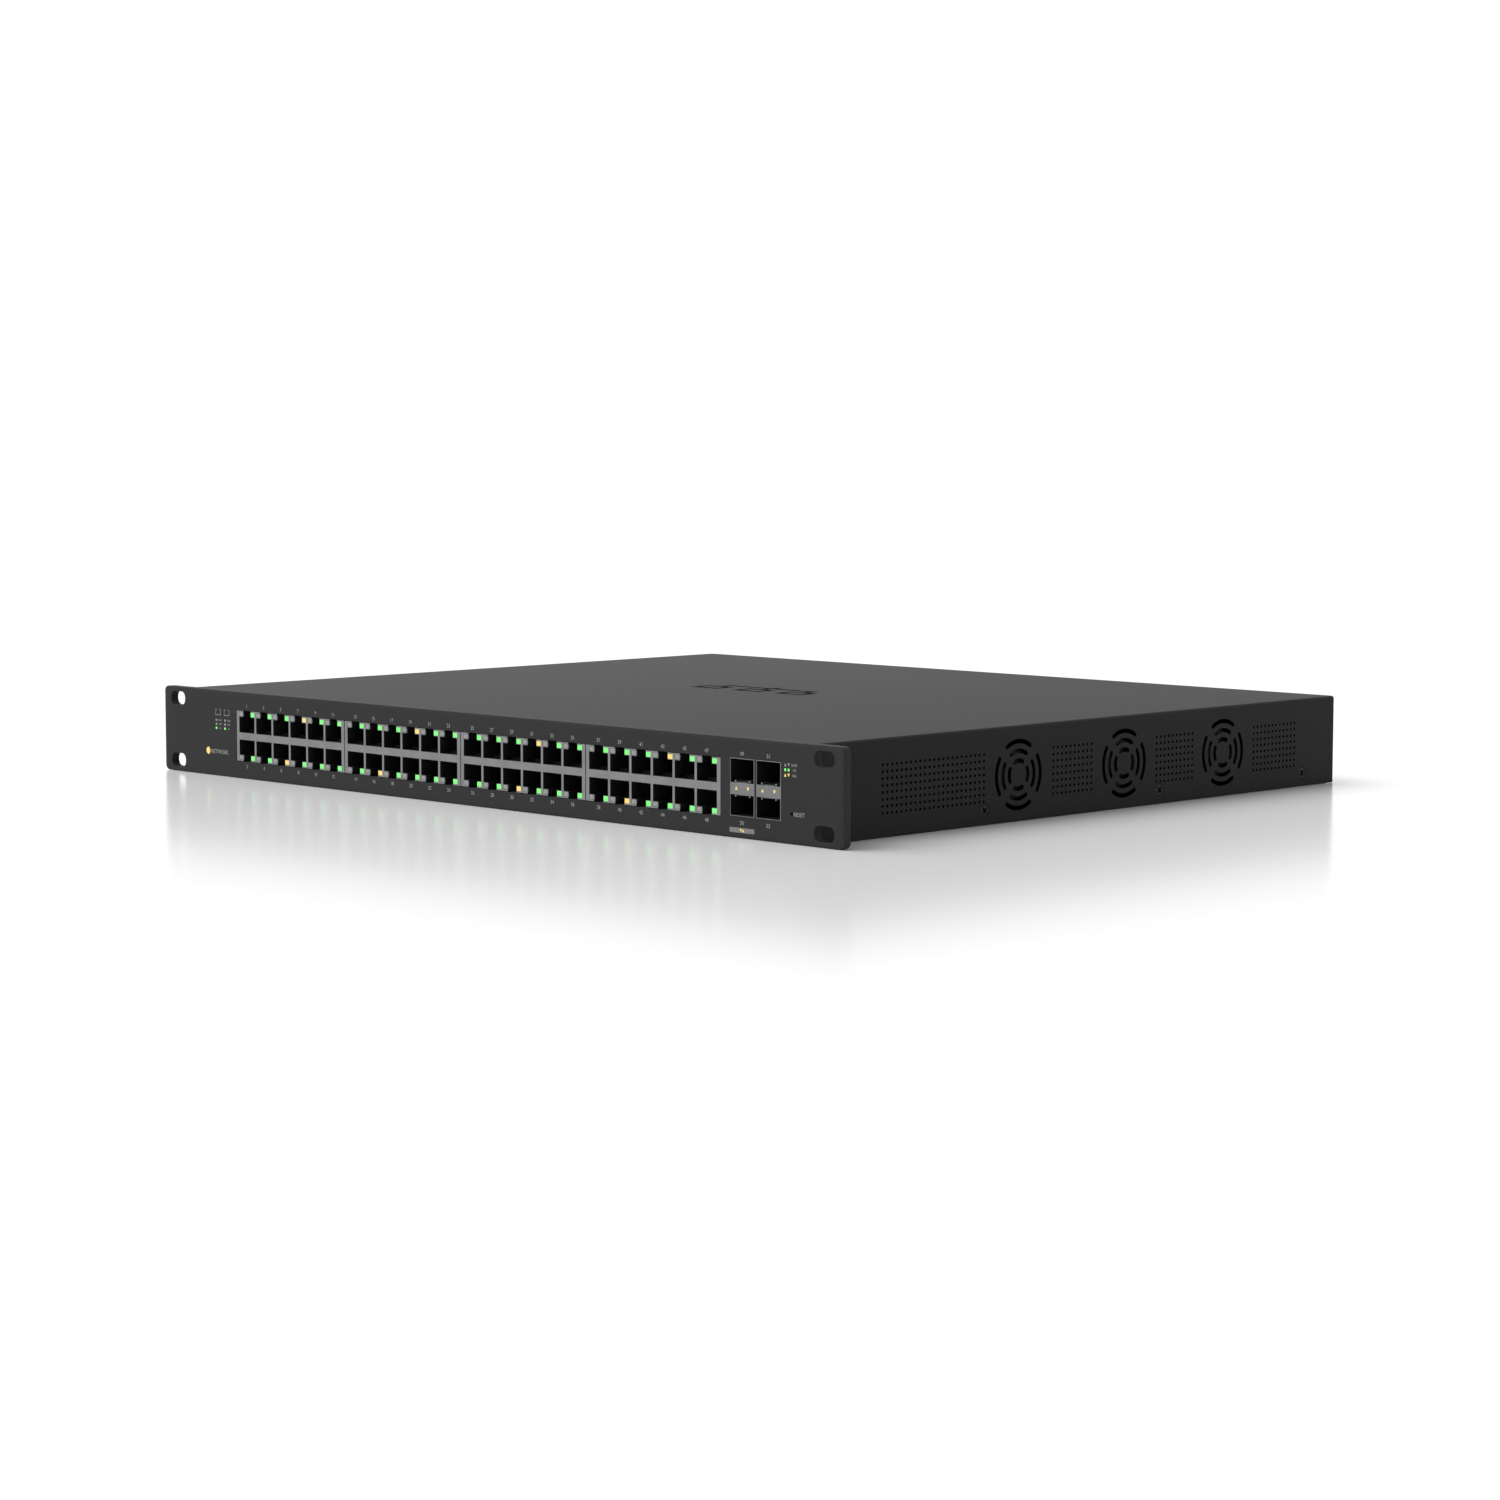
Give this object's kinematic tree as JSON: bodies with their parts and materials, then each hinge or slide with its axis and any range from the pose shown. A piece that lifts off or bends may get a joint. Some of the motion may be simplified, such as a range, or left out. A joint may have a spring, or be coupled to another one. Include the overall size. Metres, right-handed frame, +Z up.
{
  "type": "rackmount network switch",
  "caption": "One-unit rackmount network switch: ported front panel with rack ears, folded steel cover with fan grilles, tray, boards, power supply, fans and reset button.",
  "frame": {"origin": "middle of the footprint, on the surface that the switch stands on", "axes": "+X to the right as seen from the front, the front panel faces -Y, +Z up"},
  "size_m": [0.485, 0.378, 0.0437],
  "materials": {
    "dark_powder_coat": "fine-grained matt powder coat",
    "bezel_powder_coat": "fine-grained matt powder coat",
    "zinc_steel": "zinc-plated steel",
    "jack_shield": "satin nickel-plated shield",
    "cage_steel": "satin nickel-plated cage",
    "clear_lens": "clear light pipe, lit amber",
    "circuit_board": "green solder mask",
    "black_plastic": "moulded black",
    "aluminium": "extruded",
    "insulating_sheet": "fibre sheet",
    "winding_tape": "yellow tape over a ferrite core",
    "plated_brass": "tin-plated",
    "blackened_steel": "black oxide"
  },
  "bodies": {
    "chassis": {"chassis_base": "dark_powder_coat", "top_cover": "dark_powder_coat", "front_bezel": "bezel_powder_coat", "rj45_block_1": "jack_shield", "rj45_block_2": "jack_shield", "rj45_block_3": "jack_shield", "rj45_block_4": "jack_shield", "sfp_cage_1": "cage_steel", "sfp_cage_2": "cage_steel", "sfp_lightpipe_1": "clear_lens", "sfp_lightpipe_2": "clear_lens", "status_lightpipe": "clear_lens", "main_pcb": "circuit_board", "switch_chip": "black_plastic", "switch_heatsink": "aluminium", "phy_heatsink_1": "aluminium", "phy_heatsink_2": "aluminium", "psu_board": "circuit_board", "psu_insulator": "insulating_sheet", "psu_transformer": "winding_tape", "bulk_capacitor_1": "black_plastic", "bulk_capacitor_2": "black_plastic", "psu_heatsink": "aluminium", "ac_harness": "black_plastic", "dc_harness": "black_plastic", "fan_bracket": "blackened_steel", "fan_frame_1": "black_plastic", "fan_frame_2": "black_plastic", "fan_frame_3": "black_plastic", "fan_lead_1": "black_plastic", "fan_lead_2": "black_plastic", "fan_lead_3": "black_plastic", "power_inlet": "black_plastic", "inlet_pin_live": "plated_brass", "inlet_pin_neutral": "plated_brass", "inlet_pin_earth": "plated_brass", "console_jack": "jack_shield", "reset_switch": "black_plastic", "ground_screw": "zinc_steel", "cover_screw_right_1": "blackened_steel", "cover_screw_right_2": "blackened_steel", "cover_screw_right_3": "blackened_steel", "cover_screw_left_1": "blackened_steel", "cover_screw_left_2": "blackened_steel", "cover_screw_left_3": "blackened_steel", "pcb_screw_1": "zinc_steel", "pcb_screw_2": "zinc_steel", "pcb_screw_3": "zinc_steel", "pcb_screw_4": "zinc_steel", "psu_screw_1": "zinc_steel", "psu_screw_2": "zinc_steel", "bezel_screw_1": "zinc_steel", "bezel_screw_2": "zinc_steel", "inlet_screw_1": "blackened_steel", "inlet_screw_2": "blackened_steel"},
    "fan_1_rotor": {"fan_rotor_1": "black_plastic"},
    "fan_2_rotor": {"fan_rotor_2": "black_plastic"},
    "fan_3_rotor": {"fan_rotor_3": "black_plastic"},
    "reset_plunger": {"reset_button": "black_plastic"}
  },
  "joints": [
    {"name": "fan_spin_1", "type": "hinge", "parent": "chassis", "child": "fan_1_rotor", "pos_m": [0.211, -0.05355, 0.0211], "axis": [1, 0, 0], "continuous": true},
    {"name": "fan_spin_2", "type": "hinge", "parent": "chassis", "child": "fan_2_rotor", "pos_m": [0.211, 0.02236, 0.0211], "axis": [1, 0, 0], "continuous": true},
    {"name": "fan_spin_3", "type": "hinge", "parent": "chassis", "child": "fan_3_rotor", "pos_m": [0.211, 0.09803, 0.0211], "axis": [1, 0, 0], "continuous": true},
    {"name": "reset_press", "type": "slide", "parent": "chassis", "child": "reset_plunger", "axis": [0, 1, 0], "range_m": [0, 0.0005], "stiffness_N_per_m": 500}
  ]
}
